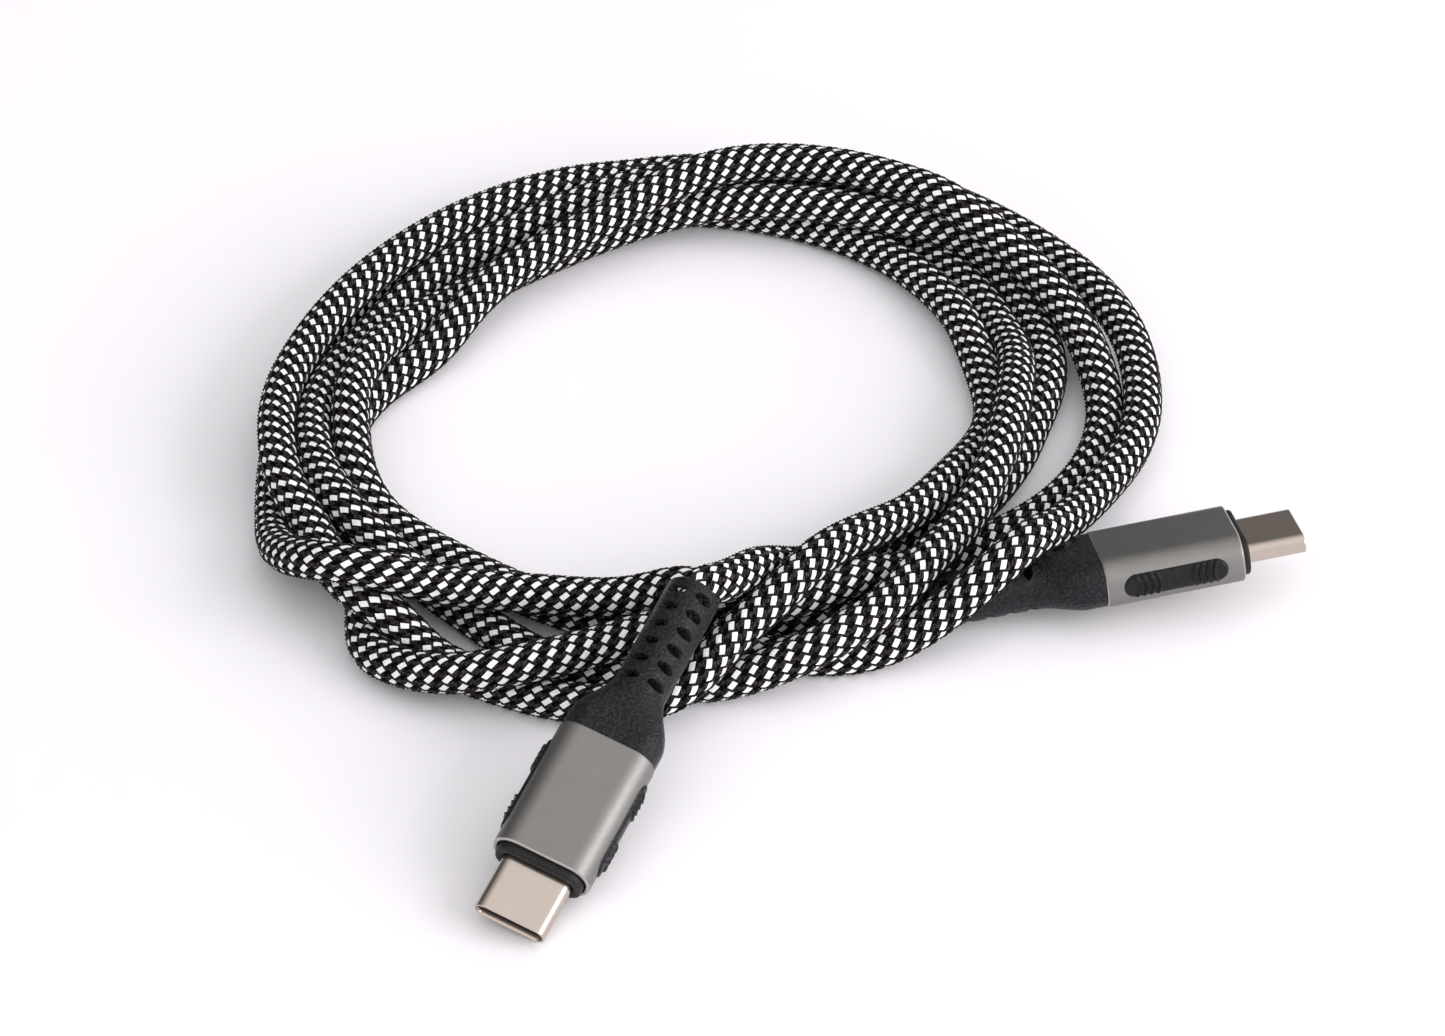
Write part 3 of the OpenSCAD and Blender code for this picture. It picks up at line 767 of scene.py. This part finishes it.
# Each tube's outer edge, its inner bevel, and how far its inner face or its hidden end reaches in
SLEEVE_EDGE = 0.00016
SLEEVE_BEVEL = 0.0001
SLEEVE_LINING = (0.0008, 0.0012)
NOSE_EDGE = 0.0003
NOSE_SUNK = 0.0006
HOLE_GAP = 0.0001
HOLE_BEVEL = 0.00012
SHELL_EDGE = 0.00012
SHELL_SUNK = 0.004
SHELL_BEVEL = (0.00006, 0.00005)
SHELL_COUNT = 160


def make_sleeve(name):
    """Tube with a polished chamfer round each end; material 1 is that rim."""
    edge = SLEEVE_EDGE
    back, front = BOOT_LEN, NOSE_X
    profile = [(back + SLEEVE_LINING[0], SLEEVE_WALL), (back, SLEEVE_WALL)]
    profile += [(back, edge)] + [(back + edge * t, edge * (1 - t)) for t in (0.35, 0.7, 1)]
    profile += [(back + edge * 2, 0)]
    profile += [(back + (front - back) * t, 0) for t in (0.1, 0.3, 0.5, 0.7, 0.9)]
    profile += [(front - edge * 2, 0)]
    profile += [(front - edge * t, edge * (1 - t)) for t in (1, 0.7, 0.35)] + [(front, edge)]
    profile += [(front, SLEEVE_WALL - SLEEVE_BEVEL), (front - SLEEVE_BEVEL, SLEEVE_WALL)]
    profile += [(front - SLEEVE_LINING[1], SLEEVE_WALL)]
    bands = [0, 0, 1, 1, 1, 0] + [0] * 6 + [0, 1, 1, 1, 1, 1, 0]
    return loft(name, tube_rings(profile, SLEEVE), ["sleeve", "rim"], bands)


def make_nose(name):
    """Ring that stands out of the sleeve, with the shell's hole through it."""
    back, front = NOSE_X - NOSE_SUNK, NOSE_X + NOSE_PROUD
    rings = tube_rings([(back, 0), (front - NOSE_EDGE * 1.5, 0)] + rounded_rim(front, NOSE_EDGE), NOSE)
    hole = (SHELL[0] + HOLE_GAP, SHELL[1] + HOLE_GAP, SHELL[2] + HOLE_GAP / 2)
    rings += tube_rings([(front, -HOLE_BEVEL), (front - HOLE_BEVEL, 0), (back, 0)], hole)
    return loft(name, rings, ["nose"])


def make_shell(name):
    """Open tube with a rounded front edge."""
    back, front = NOSE_X - SHELL_SUNK, TIP_X
    profile = [(back, SHELL_WALL), (back, 0), (NOSE_X, 0), (NOSE_X + 0.003, 0)]
    profile += [(front - SHELL_EDGE * 1.6, 0)] + rounded_rim(front, SHELL_EDGE)
    profile += [(front, SHELL_WALL - SHELL_BEVEL[1]), (front - SHELL_BEVEL[0], SHELL_WALL)]
    profile += [(front - 0.001, SHELL_WALL), (back, SHELL_WALL)]
    return loft(name, tube_rings(profile, SHELL, SHELL_COUNT), ["shell"])


# Cells along and across a pad, how deep its rim is sunk in the sleeve, and the width over which it rises
GRIP_CELLS = (160, 36)
GRIP_SUNK = 0.0001
CROWN_WIDTH = 0.0004
RIB_COUNT = 4
RIB_PITCH = 0.0008
RIB_HEIGHT = 0.0003
# From the pad's end to its first rib, and the radius that each rib is curved to
FIRST_RIB = 0.0018
RIB_ARC_R = 0.0024
RIB_HALF_W = 0.00014
RIB_FADE = 0.0003
NO_AREA = 1e-12


def sleeve_side(z):
    """Distance of the sleeve's narrow side from the plug's middle, at a height z."""
    over = max(abs(z) - (SLEEVE[1] / 2 - SLEEVE[2]), 0)
    return SLEEVE[0] / 2 - SLEEVE[2] + math.sqrt(SLEEVE[2] ** 2 - over ** 2)


def rib_height(x, z, inset):
    """Height of the two groups of curved ribs, which fade out at the pad's edge."""
    rib = 0
    for j in range(RIB_COUNT):
        for sign in (-1, 1):
            centre = sign * (GRIP_LEN / 2 - FIRST_RIB - j * RIB_PITCH + RIB_ARC_R)
            gap = abs(math.hypot(x - centre, z) - RIB_ARC_R)
            rib = max(rib, math.exp(-(gap / RIB_HALF_W) ** 2))
    return RIB_HEIGHT * rib * eased(inset / RIB_FADE)


def make_grip(name, side):
    """Stadium pad on a narrow side of the sleeve, with two groups of fine curved ribs."""
    nx, nr = GRIP_CELLS
    half, radius = GRIP_LEN / 2, GRIP_H / 2
    middle_x = BOOT_LEN + SLEEVE_LEN / 2
    verts = []
    for i in range(nx + 1):
        x = -half + GRIP_LEN * i / nx
        end = max(abs(x) - (half - radius), 0)
        reach = math.sqrt(max(radius ** 2 - end ** 2, NO_AREA))
        for k in range(nr + 1):
            z = reach * math.sin(math.pi * (k / nr - 0.5))
            inset = radius - math.hypot(end, z)
            crown = GRIP_PROUD * eased(inset / CROWN_WIDTH) ** 0.5 - GRIP_SUNK
            verts.append((middle_x + x, side * (sleeve_side(z) + crown + rib_height(x, z, inset)), z))
    faces = []
    for i in range(nx):
        for k in range(nr):
            a = i * (nr + 1) + k
            quad = (a, a + nr + 1, a + nr + 2, a + 1)
            faces.append(quad if side < 0 else quad[::-1])
    return mesh_piece(name, verts, faces, ["grip"])


def place(piece, end):
    piece.data.transform(plug_matrix(end))
    piece.data.update()


plug_pieces = {"a": [], "b": []}
for end in plug_pieces:
    made = [
        (make_boot(f"strain_relief_{end}"), f"boot_{end}", "boot_rubber"),
        (make_sleeve(f"metal_sleeve_{end}"), f"sleeve_{end}", "sleeve_aluminium"),
        (make_grip(f"left_grip_pad_{end}", 1), f"grip_left_{end}", "grip_rubber"),
        (make_grip(f"right_grip_pad_{end}", -1), f"grip_right_{end}", "grip_rubber"),
        (make_nose(f"nose_{end}"), f"nose_ring_{end}", "nose_plastic"),
        (make_shell(f"steel_shell_{end}"), f"plug_shell_{end}", "shell_steel"),
    ]
    for piece, node, slot in made:
        place(piece, end)
        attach(piece, "root")
        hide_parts(node)
        plug_pieces[end].append(piece)

CAD_LOOKS = {
    "insulator": "housing", "upper_contacts": "contact", "lower_contacts": "contact",
    "latch_plate": "spring", "ground_springs": "spring", "circuit_card": "card", "marker_chip": "chip",
    "shield_can": "can", "inner_mould": "mould", "crimp_ferrule": "can", "cable_end": "jacket",
    "power_wire": "wire_red", "ground_wire": "wire_black", "channel_wire": "wire_blue",
    "data_wires": "wire_green",
}
for name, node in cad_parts.items():
    look = CAD_LOOKS.get(name[:-2])
    if look:
        node.data.materials.clear()
        node.data.materials.append(MATERIALS[look])
        if name.endswith("_b"):
            plug_pieces["b"].append(node)

# ---- the braided cord in place of the CAD cord ----

CORD_NODES = ["cord_turn_1", "cord_turn_2", "cord_turn_3", "cord_turn_4", "cord_turn_5", "cord_tail_end"]
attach(braid, "root")
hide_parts(*CORD_NODES)

# ---- floor and light ----

FLOOR_HALF = 3.0
WORLD_STRENGTH = 1.14
# The room dims towards this side. Each stop is a place on the way there and the brightness from it on.
DIM_SIDE = (-0.61, 0.76, 0.2)
WORLD_STOPS = ((0.15, 1.0), (0.85, 0.14))
# Each softbox shines at the frame's origin: where it is, its size and its power
SOFTBOXES = {
    "overhead_softbox": ((-0.1, 0.05, 0.9), (1.6, 1.6), 1.2),
    "right_softbox": ((0.8, -0.35, 0.45), (0.7, 0.6), 6.4),
}


def make_floor():
    h = FLOOR_HALF
    mesh = bpy.data.meshes.new("floor")
    mesh.from_pydata([(-h, -h, 0), (h, -h, 0), (h, h, 0), (-h, h, 0)], [], [(0, 1, 2, 3)])
    paper = grained_material("floor_paper", (0.91, 0.88, 0.92), (0.93, 0.9, 0.94), 0.6, 400, 0.05)
    mesh.materials.append(paper)
    floor = link_piece("floor", mesh)


def make_softbox(name, location, size, power):
    data = bpy.data.lights.new(name, "AREA")
    data.shape = "RECTANGLE"
    data.size, data.size_y = size
    data.energy = power
    light = bpy.data.objects.new(name, data)
    light.location = location
    light.rotation_euler = (-Vector(location)).to_track_quat("-Z", "Y").to_euler()
    bpy.context.collection.objects.link(light)


def make_world():
    """White room that dims towards the far side of the table, which the flat metal faces reflect."""
    world = bpy.data.worlds.new("studio")
    world.use_nodes = True
    nodes, links = world.node_tree.nodes, world.node_tree.links
    direction = nodes.new("ShaderNodeTexCoord")
    towards = nodes.new("ShaderNodeVectorMath")
    towards.operation = "DOT_PRODUCT"
    towards.inputs[1].default_value = DIM_SIDE
    ramp = nodes.new("ShaderNodeValToRGB")
    for stop, (at, value) in zip(ramp.color_ramp.elements, WORLD_STOPS):
        stop.position = at
        stop.color = (value, value, value, 1)
    background = nodes["Background"]
    background.inputs["Strength"].default_value = WORLD_STRENGTH
    links.new(direction.outputs["Generated"], towards.inputs[0])
    links.new(towards.outputs["Value"], ramp.inputs["Fac"])
    links.new(ramp.outputs["Color"], background.inputs["Color"])
    bpy.context.scene.world = world


make_floor()
make_world()
for name, (location, size, power) in SOFTBOXES.items():
    make_softbox(name, location, size, power)
bpy.context.scene.view_settings.view_transform = "Standard"
